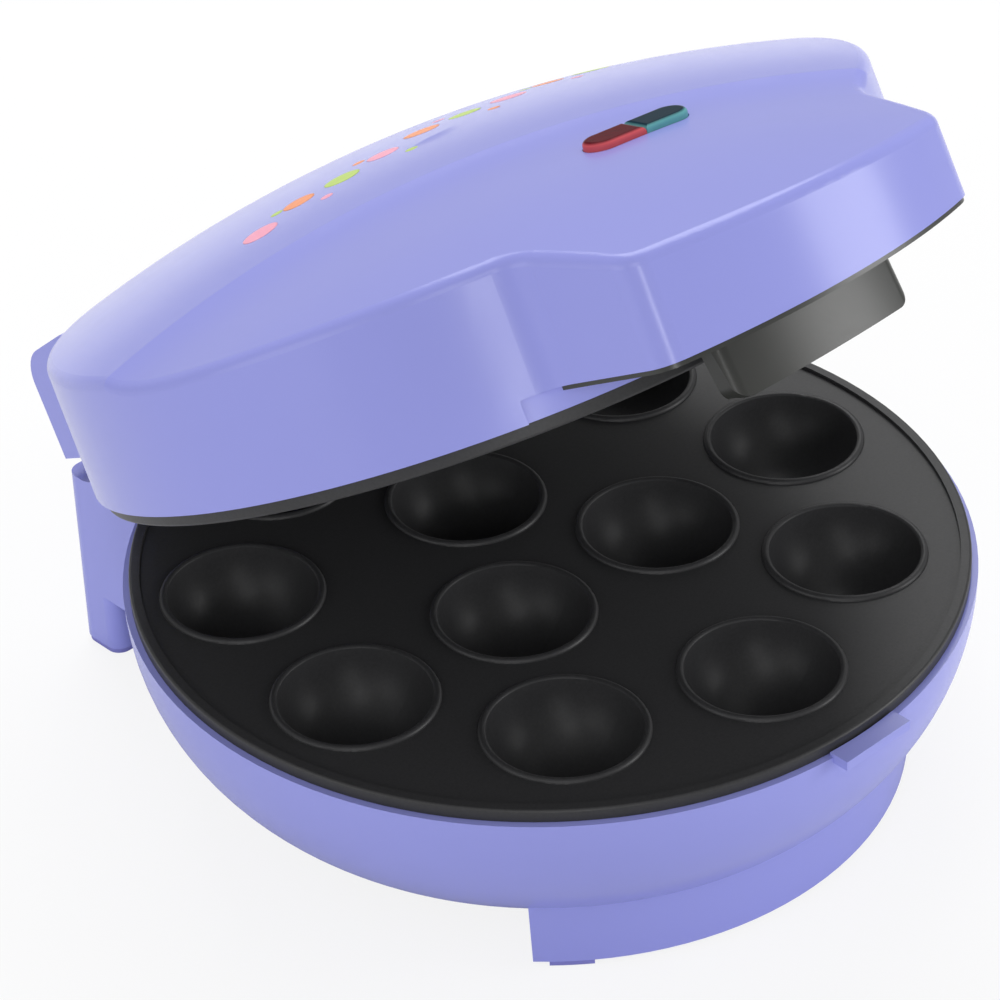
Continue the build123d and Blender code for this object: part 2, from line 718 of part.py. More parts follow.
cover_head_z = cover_z - cover_thickness - seat_clearance
with BuildPart() as bottom_cover_screws:
    with BuildSketch(Plane.XY.offset(cover_head_z)):
        with Locations(*cover_screw_points):
            Circle(screw_head_radius)
    extrude(amount=-screw_head_height)
    with BuildSketch(Plane.XY.offset(cover_head_z)):
        with Locations(*cover_screw_points):
            Circle(screw_radius)
    extrude(amount=bowl_floor_z + cover_boss_height - 2 * screw_tip_gap - cover_head_z)

# ---------------------------------------------------------------- inlet, terminals, wires
with BuildPart() as inlet_grommet:
    with BuildSketch(Plane.XZ.offset(-housing_back - seat_clearance)):
        with Locations((0, inlet_z)):
            Circle(inlet_flange_radius)
    extrude(amount=-inlet_flange)
    with BuildSketch(Plane.XZ.offset(-housing_back - seat_clearance)):
        with Locations((0, inlet_z)):
            Circle(inlet_radius)
    extrude(amount=inlet_length - inlet_flange)
    with BuildSketch(Plane.XZ.offset(-housing_back - seat_clearance - inlet_flange)):
        with Locations((0, inlet_z)):
            Circle(inlet_bore)
    extrude(amount=inlet_length, mode=Mode.SUBTRACT)

terminal_z = cover_z + seat_clearance
with BuildPart() as terminal_block:
    with BuildSketch(Plane.XY.offset(terminal_z)):
        with Locations((0, terminal_y)):
            Rectangle(terminal_length, terminal_width)
    extrude(amount=terminal_height)

pin_end_z = element_z - element_leg - element_pin_length
wire_z = terminal_z + terminal_height / 2
terminal_back = terminal_y + terminal_width / 2 + wire_gap
grommet_end = housing_back + seat_clearance - inlet_length + inlet_flange - wire_gap
wire_drop = inlet_z - wire_z
with BuildPart() as base_wiring:
    for x, y in element_ends:
        with BuildLine() as element_wire:
            FilletPolyline(
                (x, y, pin_end_z - wire_gap),
                (x, y, wire_z),
                (x, terminal_back, wire_z),
                radius=wire_bend,
            )
        with BuildSketch(Plane.XY.offset(pin_end_z - wire_gap)):
            with Locations((x, y)):
                Circle(wire_radius)
        sweep(path=element_wire.line)
    for side in (-1, 1):
        supply_x = side * supply_wire_spacing / 2
        with BuildLine() as supply_wire:
            FilletPolyline(
                (supply_x, grommet_end, inlet_z),
                (supply_x, terminal_back + 2.5 * wire_drop, inlet_z),
                (supply_x, terminal_back + wire_drop, wire_z),
                (supply_x, terminal_back, wire_z),
                radius=wire_bend,
            )
        with BuildSketch(Plane.XZ.offset(-grommet_end)):
            with Locations((supply_x, inlet_z)):
                Circle(wire_radius)
        sweep(path=supply_wire.line)

# ---------------------------------------------------------------- hinge pins
with BuildPart() as hinge_pins:
    pin_reach = knuckle_inner + knuckle_length + seat_clearance
    for side in (-1, 1):
        with BuildSketch(Plane.YZ.offset(side * (lug_inner - seat_clearance))):
            with Locations((hinge_y, hinge_z)):
                Circle(hinge_pin_head_radius)
        extrude(amount=-side * hinge_pin_head)
        with BuildSketch(Plane.YZ.offset(side * (lug_inner - seat_clearance))):
            with Locations((hinge_y, hinge_z)):
                Circle(hinge_pin_radius)
        extrude(amount=side * (pin_reach - lug_inner + seat_clearance))

# ---------------------------------------------------------------- hinge bushes
with BuildPart() as hinge_bushes:
    for side in (-1, 1):
        with BuildSketch(Plane.YZ.offset(side * knuckle_inner)):
            with Locations((hinge_y, hinge_z)):
                Circle(bush_radius)
                Circle(hinge_pin_radius + hinge_pin_fit, mode=Mode.SUBTRACT)
        extrude(amount=side * knuckle_length)

# ---------------------------------------------------------------- the lid's top surface
# A low dome whose front is scooped out along a crest that runs slantwise across the lid.
crest_cos = cos(radians(crest_angle))
crest_sin = sin(radians(crest_angle))


def front_surface(along, ahead):
    """The scooped front: under the dome ahead of the crest, above it behind."""
    x = along * crest_cos - ahead * crest_sin
    y = crest_y - along * crest_sin - ahead * crest_cos
    past = ahead + crest_sag * (1 - (along / crest_half_length) ** 2)
    dome = dome_rim_height + dome_rise * (1 - (x * x + y * y) / dome_rim_radius**2)
    hollow = hollow_slope * past * exp(-past / hollow_length)
    return Vector(x, y, dome - hollow + front_lift * past * past)


def dome_profile(drop, reach):
    """A point on the dome's section, at a radius and this far under its skin."""
    fall = dome_radius - sqrt(dome_radius**2 - reach**2)
    return (reach, dome_top - drop - fall)


def front_height(x, y):
    """Height of the scooped front over a point."""
    along = x * crest_cos - (y - crest_y) * crest_sin
    ahead = -x * crest_sin - (y - crest_y) * crest_cos
    return front_surface(along, ahead).Z


front_steps = 18
front_half_span = shell_radius + side_overlap
front_length = crest_y - handle_front_y + crest_overlap + front_overlap
front_rows = [
    [
        front_surface(
            front_half_span * (2 * i / front_steps - 1),
            front_length * j / front_steps - crest_overlap,
        )
        for j in range(front_steps + 1)
    ]
    for i in range(front_steps + 1)
]
front_face = Face.make_surface_from_array_of_points(front_rows, tol=0.02, min_deg=3, max_deg=8)

crest_plane = Plane(origin=(0, crest_y, 0), x_dir=(crest_cos, -crest_sin, 0), z_dir=(0, 0, 1))
with BuildPart() as above_dome:
    with BuildSketch(Plane.XZ):
        with BuildLine():
            far = shell_radius + 5 * wall
            ThreePointArc(dome_profile(0, 0), dome_profile(0, far / 2), dome_profile(0, far))
            Polyline(dome_profile(0, far), (far, 2 * dome_top), (0, 2 * dome_top), dome_profile(0, 0))
        make_face()
    revolve(axis=Axis.Z)
    split(
        bisect_by=Plane(
            origin=crest_plane.from_local_coords((0, -crest_rise, 0)),
            z_dir=(crest_sin, crest_cos, 0),
        ),
        keep=Keep.TOP,
    )

# ---------------------------------------------------------------- lid's inner spaces
inner_taper = shell_inner_radius - (dome_top - rim_drop) * sin(radians(lid_draft))
with BuildPart() as lid_inside:
    with BuildSketch(Plane.XZ):
        with BuildLine():
            ceiling_edge = dome_profile(ceiling_drop, inner_taper)
            ThreePointArc(
                dome_profile(ceiling_drop, 0), dome_profile(ceiling_drop, inner_taper / 2), ceiling_edge
            )
            Polyline(
                ceiling_edge, (shell_inner_radius, rim_drop), (0, rim_drop), dome_profile(ceiling_drop, 0)
            )
        make_face()
    revolve(axis=Axis.Z)

ear_front = shell_radius - ear_root_inset
ear_rise_y = shell_radius - 2 * wall
with BuildPart() as ear_inside:
    with BuildSketch(Plane.YZ.offset(wall - housing_half_width)) as ear_hollow:
        with BuildLine():
            Polyline(
                (ear_front, ear_bottom),
                (ear_back - wall, ear_bottom),
                (ear_back - wall, ear_top - wall),
                (ear_rise_y, ear_top + ear_slope_rise - wall),
                (ear_front, ear_top + ear_slope_rise - wall),
                close=True,
            )
        make_face()
        roof_corner = ear_hollow.vertices().group_by(Axis.X)[-1].sort_by(Axis.Y)[-1]
        fillet(roof_corner, ear_corner - wall)
    extrude(amount=2 * (housing_half_width - wall))
    with BuildSketch(Plane.XY.offset(ear_bottom)):
        Circle(shell_radius)
    extrude(amount=ear_top + ear_slope_rise - ear_bottom, mode=Mode.SUBTRACT)


handle_arc_middle = (0, handle_front_y)
with BuildPart() as handle_inside:
    with BuildSketch(Plane.XY.offset(handle_bottom)) as handle_hollow:
        with BuildLine():
            Polyline(
                (handle_corner_x, handle_corner_y),
                (handle_root_x, handle_root_y),
                (-handle_root_x, handle_root_y),
                (-handle_corner_x, handle_corner_y),
            )
            ThreePointArc(
                (-handle_corner_x, handle_corner_y), handle_arc_middle, (handle_corner_x, handle_corner_y)
            )
        make_face()
        offset(amount=-wall, kind=Kind.INTERSECTION, mode=Mode.REPLACE)
        fillet(handle_hollow.vertices().group_by(Axis.Y)[0], handle_corner_radius - wall)
    extrude(amount=handle_ceiling - handle_bottom)
    with BuildSketch(Plane.XY.offset(handle_bottom)):
        Circle(shell_radius)
    extrude(amount=handle_ceiling - handle_bottom, mode=Mode.SUBTRACT)

# ---------------------------------------------------------------- signal lamp's place
lamp_slope_x = front_height(pill_x + 1, pill_y) - front_height(pill_x, pill_y)
lamp_slope_y = front_height(pill_x, pill_y + 1) - front_height(pill_x, pill_y)
lamp_plane = Plane(
    origin=(pill_x, pill_y, front_height(pill_x, pill_y)),
    x_dir=(cos(radians(pill_turn)), sin(radians(pill_turn)), 0),
    z_dir=(-lamp_slope_x, -lamp_slope_y, 1),
)

# ---------------------------------------------------------------- lid shell
# One moulding: a drum under a low dome, a scooped front that runs out into the handle,
# and an ear at the back that carries the hinge's knuckles.
knuckle_points = [-knuckle_inner - knuckle_length, knuckle_inner]
notch_points = [-lug_inner - lug_width / 2, lug_inner + lug_width / 2]
handle_boss_points = [(-handle_boss_x, handle_boss_y), (handle_boss_x, handle_boss_y)]
bracket_points = [-latch_half_slot - bracket_thickness, latch_half_slot]
handle_screw_bore = shield_screw_bore
with BuildPart() as lid_shell:
    with BuildSketch(Plane.XY.offset(rim_drop)):
        Circle(shell_radius)
    extrude(amount=dome_top, taper=lid_draft)
    with BuildSketch(Plane.XY.offset(handle_bottom)):
        with BuildLine():
            Polyline(
                (handle_corner_x, handle_corner_y),
                (handle_root_x, handle_root_y),
                (-handle_root_x, handle_root_y),
                (-handle_corner_x, handle_corner_y),
            )
            ThreePointArc(
                (-handle_corner_x, handle_corner_y), handle_arc_middle, (handle_corner_x, handle_corner_y)
            )
        make_face()
    extrude(amount=dome_top, taper=lid_draft)
    upright = lid_shell.edges().filter_by(lambda e: abs(e.tangent_at(0.5).Z) > 0.9)
    corners = upright.filter_by(lambda e: e.center().Y < handle_corner_y + handle_corner_radius)
    fillet(corners, handle_corner_radius)
    upright = lid_shell.edges().filter_by(lambda e: abs(e.tangent_at(0.5).Z) > 0.9)
    roots = upright.filter_by(
        lambda e: abs(e.center().Y - handle_root_y) < handle_root_radius and e.length > dome_rise
    )
    fillet(roots, handle_root_radius)
    add(above_dome.part, mode=Mode.SUBTRACT)
    extrude(to_extrude=front_face, amount=2 * dome_top, dir=(0, 0, 1), mode=Mode.SUBTRACT)
    top_edges = lid_shell.edges().filter_by(
        lambda e: e.center().Z > handle_ceiling / 2 and abs(e.tangent_at(0.5).Z) < 0.9
    )
    crest_edges = top_edges.filter_by(
        lambda e: hypot(e.center().X, e.center().Y) < handle_root_x + wall and e.length > crest_half_length
    )
    fillet(crest_edges, crest_edge_radius)
    top_edges = lid_shell.edges().filter_by(
        lambda e: e.center().Z > handle_ceiling / 2 and abs(e.tangent_at(0.5).Z) < 0.9
    )
    rim_edges = top_edges.filter_by(
        lambda e: hypot(e.center().X, e.center().Y) > handle_root_x + wall
    )
    fillet(rim_edges, top_edge_radius)
    # ear
    with BuildSketch(Plane.YZ.offset(-housing_half_width)) as ear_outline:
        with BuildLine():
            Polyline(
                (ear_front, ear_bottom),
                (ear_back, ear_bottom),
                (ear_back, ear_top),
                (ear_rise_y, ear_top + ear_slope_rise),
                (ear_front, ear_top + ear_slope_rise),
                close=True,
            )
        make_face()
        ear_corners = ear_outline.vertices().group_by(Axis.X)[-1].sort_by(Axis.Y)
        fillet(ear_corners[-1], ear_corner)
        fillet(ear_corners[0], ear_heel)
    extrude(amount=2 * housing_half_width)
    # inner spaces
    add(lid_inside.part, mode=Mode.SUBTRACT)
    with BuildSketch(Plane.XY.offset(rim_drop)):
        Circle(shell_radius)
    extrude(amount=ear_bottom - rim_drop, mode=Mode.SUBTRACT)
    add(ear_inside.part, mode=Mode.SUBTRACT)
    add(handle_inside.part, mode=Mode.SUBTRACT)
    # the drum's wall is set back a little under the handle
    with BuildSketch(Plane.XY.offset(handle_bottom)):
        with Locations((0, -shell_radius)):
            Rectangle(2 * lip_half_width, shell_radius)
        Circle(shell_radius - lip_recess, mode=Mode.SUBTRACT)
    extrude(amount=rim_drop - handle_bottom, mode=Mode.SUBTRACT)
    # notches for the base's lugs
    with BuildSketch(Plane.XZ.offset(-ear_back - wall)):
        with Locations(*[(x, (ear_bottom + notch_top) / 2) for x in notch_points]):
            Rectangle(lug_width + 2 * notch_gap, notch_top - ear_bottom)
    extrude(amount=3 * wall, mode=Mode.SUBTRACT)
    # knuckles
    for knuckle_x in knuckle_points:
        with BuildSketch(Plane.YZ.offset(knuckle_x)):
            with BuildLine():
                Polyline(
                    (hinge_y - knuckle_radius, hinge_z),
                    (hinge_y + knuckle_radius, hinge_z),
                    (ear_back - wall / 2, hinge_z + knuckle_radius),
                    (ear_back - wall / 2, ear_top - ear_corner),
                    (ear_back - ear_corner, ear_top - wall / 2),
                    (hinge_y - knuckle_radius, ear_top - wall / 2),
                    close=True,
                )
            make_face()
            with Locations((hinge_y, hinge_z)):
                Circle(knuckle_radius)
                Circle(bush_radius + hinge_pin_seat, mode=Mode.SUBTRACT)
        extrude(amount=knuckle_length)
    # tabs and screw bosses
    mirror(lower_tabs.part, about=Plane.XY)
    with BuildSketch(Plane.XY.offset(handle_bottom + handle_cover_thickness + seat_clearance)):
        with Locations(*handle_boss_points):
            Circle(handle_boss_radius)
            Circle(handle_screw_bore, mode=Mode.SUBTRACT)
    extrude(amount=handle_ceiling - handle_bottom - handle_cover_thickness)
    # brackets for the latch's pin
    for bracket_x in bracket_points:
        with BuildSketch(Plane.YZ.offset(bracket_x)):
            with Locations((latch_pivot_y, (latch_pivot_z + handle_ceiling + wall / 2) / 2)):
                Rectangle(2 * bracket_half_width, handle_ceiling + wall / 2 - latch_pivot_z)
            with Locations((latch_pivot_y, latch_pivot_z)):
                Circle(bracket_half_width)
                Circle(latch_pin_radius + hinge_pin_seat, mode=Mode.SUBTRACT)
        extrude(amount=bracket_thickness)
    # window for the signal lamp
    with BuildSketch(lamp_plane.offset(-2 * ceiling_drop)):
        SlotOverall(pill_length + 2 * pill_fit, pill_width + 2 * pill_fit)
    extrude(amount=3 * ceiling_drop, mode=Mode.SUBTRACT)

# ---------------------------------------------------------------- lamp's pieces
with BuildPart() as red_light_lens:
    with BuildSketch(lamp_plane.offset(-lens_depth)):
        SlotOverall(pill_length, pill_width)
        with Locations((pill_length / 4 - pill_fit / 4, 0)):
            Rectangle(pill_length / 2 + pill_fit / 2, pill_width, mode=Mode.SUBTRACT)
    extrude(amount=lens_depth + pill_height)
    fillet(red_light_lens.faces().sort_by(Axis.Z)[-1].edges(), pill_edge_radius)

with BuildPart() as green_light_lens:
    with BuildSketch(lamp_plane.offset(-lens_depth)):
        SlotOverall(pill_length, pill_width)
        with Locations((-pill_length / 4 + pill_fit / 4, 0)):
            Rectangle(pill_length / 2 + pill_fit / 2, pill_width, mode=Mode.SUBTRACT)
    extrude(amount=lens_depth + pill_height)
    fillet(green_light_lens.faces().sort_by(Axis.Z)[-1].edges(), pill_edge_radius)

holder_top = -(lens_depth + pill_fit / 2)
cavity_length = pill_length + 4 * holder_gap
cavity_width = pill_width + 4 * holder_gap
with BuildPart() as lamp_holder:
    with BuildSketch(lamp_plane.offset(holder_top + holder_gap / 2)):
        Rectangle(cavity_length + 2 * holder_wall, cavity_width + 2 * holder_wall)
    extrude(amount=-holder_height)
    with BuildSketch(lamp_plane.offset(holder_top + holder_gap / 2)):
        Rectangle(cavity_length, cavity_width)
    extrude(amount=holder_wall - holder_height, mode=Mode.SUBTRACT)

lamp_level = holder_top + holder_gap / 2 - holder_height + holder_wall + lamp_radius + pill_fit
with BuildPart() as neon_lamps:
    for side in (-1, 1):
        lamp_start = side * pill_length / 4 - lamp_length / 2
        with BuildSketch(
            Plane(
                origin=lamp_plane.from_local_coords((lamp_start, 0, lamp_level)),
                x_dir=lamp_plane.z_dir,
                z_dir=lamp_plane.x_dir,
            )
        ):
            Circle(lamp_radius)
        extrude(amount=lamp_length)

# ---------------------------------------------------------------- wires in the lid
holder_back = lamp_plane.from_local_coords((0, cavity_width / 2 + holder_wall, 2 * holder_top)).Y
lid_wire_end = holder_back + wire_radius / 2
with BuildPart() as lid_wiring:
    for x, y in element_ends:
        end_x = pill_x + x * lamp_wire_spread
        with BuildLine() as lamp_wire:
            FilletPolyline(
                (x, y, -pin_end_z + wire_gap),
                (x, y, lid_wire_z),
                (x, y / 2, lid_wire_z),
                (end_x, lid_wire_end + wire_bend, lid_wire_z),
                (end_x, lid_wire_end, lid_wire_z),
                radius=lamp_wire_bend,
            )
        with BuildSketch(Plane.XY.offset(wire_gap - pin_end_z)):
            with Locations((x, y)):
                Circle(wire_radius)
        sweep(path=lamp_wire.line)

# ---------------------------------------------------------------- handle's underside cover
# A plate that plugs the handle's hollow, with an edge that shows under the handle.
with BuildPart() as handle_underside_cover:
    with BuildSketch(Plane.XY.offset(handle_bottom - seat_clearance)) as edge_outline:
        with BuildLine():
            Polyline(
                (handle_corner_x, handle_corner_y),
                (handle_root_x, handle_root_y),
                (-handle_root_x, handle_root_y),
                (-handle_corner_x, handle_corner_y),
            )
            ThreePointArc(
                (-handle_corner_x, handle_corner_y), handle_arc_middle, (handle_corner_x, handle_corner_y)
            )
        make_face()
        offset(amount=-handle_cover_margin, kind=Kind.INTERSECTION, mode=Mode.REPLACE)
        fillet(edge_outline.vertices().group_by(Axis.Y)[0], handle_corner_radius)
        Circle(shell_radius + handle_cover_inset, mode=Mode.SUBTRACT)
        with Locations((0, handle_slot_front / 2)):
            Rectangle(2 * latch_half_slot + 1, -handle_slot_front, mode=Mode.SUBTRACT)
        with Locations(*handle_boss_points):
            Circle(handle_screw_bore, mode=Mode.SUBTRACT)
    extrude(amount=-handle_cover_edge)
    with BuildSketch(Plane.XY.offset(handle_bottom - seat_clearance)) as cover_outline:
        with BuildLine():
            Polyline(
                (handle_corner_x, handle_corner_y),
                (handle_root_x, handle_root_y),
                (-handle_root_x, handle_root_y),
                (-handle_corner_x, handle_corner_y),
            )
            ThreePointArc(
                (-handle_corner_x, handle_corner_y), handle_arc_middle, (handle_corner_x, handle_corner_y)
            )
        make_face()
        offset(amount=-wall - handle_cover_inset, kind=Kind.INTERSECTION, mode=Mode.REPLACE)
        fillet(cover_outline.vertices().group_by(Axis.Y)[0], handle_corner_radius - wall)
        Circle(shell_radius + handle_cover_inset, mode=Mode.SUBTRACT)
        with Locations((0, handle_slot_front / 2)):
            Rectangle(2 * latch_half_slot + 1, -handle_slot_front, mode=Mode.SUBTRACT)
        with Locations(*handle_boss_points):
            Circle(handle_screw_bore, mode=Mode.SUBTRACT)
    extrude(amount=handle_cover_thickness + seat_clearance)

handle_head_z = handle_bottom - handle_cover_edge - 2 * seat_clearance
with BuildPart() as handle_cover_screws:
    with BuildSketch(Plane.XY.offset(handle_head_z)):
        with Locations(*handle_boss_points):
            Circle(shield_screw_head)
    extrude(amount=-shield_screw_head_height)
    with BuildSketch(Plane.XY.offset(handle_head_z)):
        with Locations(*handle_boss_points):
            Circle(shield_screw_radius)
    extrude(amount=handle_cover_edge + handle_cover_thickness + shield_screw_length)

# ---------------------------------------------------------------- latch and its pin
# A curved flap with its two ends turned back, a tooth that hooks under the catch, and a
# barrel for the pivot pin.
def flap_bulge(x):
    """How far the flap's curved face lies behind its middle, at a side distance."""
    return latch_plan_radius - sqrt(latch_plan_radius**2 - x**2)


tooth_top = catch_top - catch_thickness - catch_gap
flap_side_y = latch_face_y + flap_bulge(latch_top_half_width)
flap_back_y = flap_side_y + latch_cheek
flap_inner_x = latch_top_half_width - latch_thickness
flap_inner_y = latch_face_y + latch_thickness + flap_bulge(flap_inner_x)
with BuildPart() as latch:
    with BuildSketch(Plane.XY.offset(latch_bottom)) as flap_plan:
        with BuildLine():
            ThreePointArc(
                (-latch_top_half_width, flap_side_y),
                (0, latch_face_y),
                (latch_top_half_width, flap_side_y),
            )
            Polyline(
                (latch_top_half_width, flap_side_y),
                (latch_top_half_width, flap_back_y),
                (-latch_top_half_width, flap_back_y),
                (-latch_top_half_width, flap_side_y),
            )
        make_face()
        fillet(flap_plan.vertices().group_by(Axis.Y)[0], latch_edge_radius)
    extrude(amount=latch_pivot_z - latch_bottom)
    with BuildSketch(Plane.XZ.offset(-latch_face_y - latch_plan_radius)) as flap_outline:
        with BuildLine():
            Polyline(
                (-latch_top_half_width, latch_pivot_z),
                (-latch_bottom_half_width, latch_bottom),
                (latch_bottom_half_width, latch_bottom),
                (latch_top_half_width, latch_pivot_z),
                close=True,
            )
        make_face()
        fillet(flap_outline.vertices().group_by(Axis.Y)[0], latch_corner_radius)
    extrude(amount=2 * latch_plan_radius, mode=Mode.INTERSECT)
    with BuildSketch(Plane.XY.offset(latch_bottom - wall)) as flap_hollow:
        with BuildLine():
            ThreePointArc(
                (-flap_inner_x, flap_inner_y),
                (0, latch_face_y + latch_thickness),
                (flap_inner_x, flap_inner_y),
            )
            Polyline(
                (flap_inner_x, flap_inner_y),
                (flap_inner_x, flap_back_y + wall),
                (-flap_inner_x, flap_back_y + wall),
                (-flap_inner_x, flap_inner_y),
            )
        make_face()
        fillet(flap_hollow.vertices().group_by(Axis.Y)[0], latch_edge_radius - latch_thickness)
    extrude(amount=latch_pivot_z - latch_bottom + 2 * wall, mode=Mode.SUBTRACT)
    with BuildSketch(Plane.XY.offset(tooth_top)):
        with Locations((0, latch_face_y + latch_thickness + tooth_reach / 2 - wall / 4)):
            Rectangle(2 * (catch_half_width - latch_side_gap), tooth_reach + wall / 2)
    extrude(amount=-tooth_height)
    with BuildSketch(Plane.YZ.offset(-latch_top_half_width)):
        with Locations((latch_pivot_y, latch_pivot_z)):
            Circle(latch_barrel_radius)
    extrude(amount=2 * latch_top_half_width)
    with BuildSketch(Plane.YZ.offset(-latch_top_half_width)):
        with Locations((latch_pivot_y, latch_pivot_z)):
            Circle(latch_pin_radius + latch_pin_fit)
    extrude(amount=2 * latch_top_half_width, mode=Mode.SUBTRACT)

with BuildPart() as latch_pivot_pin:
    with BuildSketch(Plane.YZ.offset(-latch_half_slot - bracket_thickness)):
        with Locations((latch_pivot_y, latch_pivot_z)):
            Circle(latch_pin_radius)
    extrude(amount=2 * (latch_half_slot + bracket_thickness))

# ---------------------------------------------------------------- at rest, on the table
# The latch hangs a little out from its hooked place, the lid stands open, and the origin
# lies on the table under the middle of the outline.
base_pieces = (
    base_shell,
    bottom_cover,
    bottom_cover_screws,
    front_feet,
    rear_feet,
    lower_cooking_plate,
    lower_plate_screws,
    lower_heating_element,
    lower_heat_shield,
    lower_shield_screws,
    lower_thermostat,
    thermal_fuse,
    terminal_block,
    inlet_grommet,
    base_wiring,
    hinge_pins,
)
lid_pieces = (
    lid_shell,
    handle_underside_cover,
    handle_cover_screws,
    upper_cooking_plate,
    upper_plate_screws,
    upper_heating_element,
    upper_heat_shield,
    upper_shield_screws,
    upper_thermostat,
    red_light_lens,
    green_light_lens,
    lamp_holder,
    neon_lamps,
    lid_wiring,
    hinge_bushes,
    latch_pivot_pin,
)

latch.part = latch.part.rotate(latch_axis, -latch_rest_angle)
for piece in lid_pieces + (latch,):
    piece.part = piece.part.rotate(hinge_axis, -lid_rest_angle)

outline_front = base_shell.part.bounding_box().min.Y
outline_back = lid_shell.part.bounding_box().max.Y
to_table = Location((0, -(outline_front + outline_back) / 2, plate_height))
for piece in base_pieces + lid_pieces + (latch,):
    piece.part = piece.part.moved(to_table)

hinge_place = to_table * Location((0, hinge_y, hinge_z))
print("hinge axis at", hinge_place.position)
latch_place = Vertex(0, latch_pivot_y, latch_pivot_z).rotate(hinge_axis, -lid_rest_angle)
print("latch axis at", latch_place.moved(to_table).center())
print("plates' centre at", to_table.position)

base_shell.part.label = "base_shell"
bottom_cover.part.label = "bottom_cover"
bottom_cover_screws.part.label = "bottom_cover_screws"
front_feet.part.label = "front_feet"
rear_feet.part.label = "rear_feet"
lower_cooking_plate.part.label = "lower_cooking_plate"
lower_plate_screws.part.label = "lower_plate_screws"
lower_heating_element.part.label = "lower_heating_element"
lower_heat_shield.part.label = "lower_heat_shield"
lower_shield_screws.part.label = "lower_shield_screws"
lower_thermostat.part.label = "lower_thermostat"
thermal_fuse.part.label = "thermal_fuse"
terminal_block.part.label = "terminal_block"
inlet_grommet.part.label = "inlet_grommet"
base_wiring.part.label = "base_wiring"
hinge_pins.part.label = "hinge_pins"
lid_shell.part.label = "lid_shell"
handle_underside_cover.part.label = "handle_underside_cover"
handle_cover_screws.part.label = "handle_cover_screws"
upper_cooking_plate.part.label = "upper_cooking_plate"
upper_plate_screws.part.label = "upper_plate_screws"
upper_heating_element.part.label = "upper_heating_element"
upper_heat_shield.part.label = "upper_heat_shield"
upper_shield_screws.part.label = "upper_shield_screws"
upper_thermostat.part.label = "upper_thermostat"
red_light_lens.part.label = "red_light_lens"
green_light_lens.part.label = "green_light_lens"
lamp_holder.part.label = "lamp_holder"
neon_lamps.part.label = "neon_lamps"
lid_wiring.part.label = "lid_wiring"
hinge_bushes.part.label = "hinge_bushes"
latch_pivot_pin.part.label = "latch_pivot_pin"
latch.part.label = "latch"

os.makedirs("parts", exist_ok=True)
export_step(base_shell.part, "parts/base_shell.step")
export_step(bottom_cover.part, "parts/bottom_cover.step")
export_step(bottom_cover_screws.part, "parts/bottom_cover_screws.step")
export_step(front_feet.part, "parts/front_feet.step")
export_step(rear_feet.part, "parts/rear_feet.step")
export_step(lower_cooking_plate.part, "parts/lower_cooking_plate.step")
export_step(lower_plate_screws.part, "parts/lower_plate_screws.step")
export_step(lower_heating_element.part, "parts/lower_heating_element.step")
export_step(lower_heat_shield.part, "parts/lower_heat_shield.step")
export_step(lower_shield_screws.part, "parts/lower_shield_screws.step")
export_step(lower_thermostat.part, "parts/lower_thermostat.step")
export_step(thermal_fuse.part, "parts/thermal_fuse.step")
export_step(terminal_block.part, "parts/terminal_block.step")
export_step(inlet_grommet.part, "parts/inlet_grommet.step")
export_step(base_wiring.part, "parts/base_wiring.step")
export_step(hinge_pins.part, "parts/hinge_pins.step")
export_step(lid_shell.part, "parts/lid_shell.step")
export_step(handle_underside_cover.part, "parts/handle_underside_cover.step")
export_step(handle_cover_screws.part, "parts/handle_cover_screws.step")
export_step(upper_cooking_plate.part, "parts/upper_cooking_plate.step")
export_step(upper_plate_screws.part, "parts/upper_plate_screws.step")
export_step(upper_heating_element.part, "parts/upper_heating_element.step")
export_step(upper_heat_shield.part, "parts/upper_heat_shield.step")
export_step(upper_shield_screws.part, "parts/upper_shield_screws.step")
export_step(upper_thermostat.part, "parts/upper_thermostat.step")
export_step(red_light_lens.part, "parts/red_light_lens.step")
export_step(green_light_lens.part, "parts/green_light_lens.step")
export_step(lamp_holder.part, "parts/lamp_holder.step")
export_step(neon_lamps.part, "parts/neon_lamps.step")
export_step(lid_wiring.part, "parts/lid_wiring.step")
export_step(hinge_bushes.part, "parts/hinge_bushes.step")
export_step(latch_pivot_pin.part, "parts/latch_pivot_pin.step")
export_step(latch.part, "parts/latch.step")
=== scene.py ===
"""Cake pop maker: the looks of its shells, plates, latch, lamp and inner pieces."""

import json

import bmesh
import bpy
import numpy as np
from mathutils import Matrix, Vector


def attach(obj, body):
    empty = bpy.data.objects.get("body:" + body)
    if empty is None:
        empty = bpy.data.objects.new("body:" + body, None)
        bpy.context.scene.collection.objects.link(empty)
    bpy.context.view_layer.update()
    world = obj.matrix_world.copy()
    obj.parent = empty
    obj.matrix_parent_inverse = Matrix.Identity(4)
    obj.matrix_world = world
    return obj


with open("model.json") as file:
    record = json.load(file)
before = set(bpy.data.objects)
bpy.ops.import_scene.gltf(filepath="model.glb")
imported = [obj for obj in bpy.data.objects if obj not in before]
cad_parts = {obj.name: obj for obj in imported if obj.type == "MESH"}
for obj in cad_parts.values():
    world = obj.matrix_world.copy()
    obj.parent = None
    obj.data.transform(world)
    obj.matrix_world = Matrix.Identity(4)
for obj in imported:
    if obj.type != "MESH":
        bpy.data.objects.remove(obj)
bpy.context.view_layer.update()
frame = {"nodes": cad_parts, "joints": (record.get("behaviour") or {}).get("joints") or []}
nodes = frame["nodes"]

# ---------------------------------------------------------------- studio
# A white laminate table that runs out of sight, seen from where the photograph was taken:
# about a metre away, left of the handle and above it. Four soft lamps, a narrow strip light
# and an even white surround light it, as in a small product studio.
scene = bpy.context.scene
scene.view_settings.view_transform = "Standard"

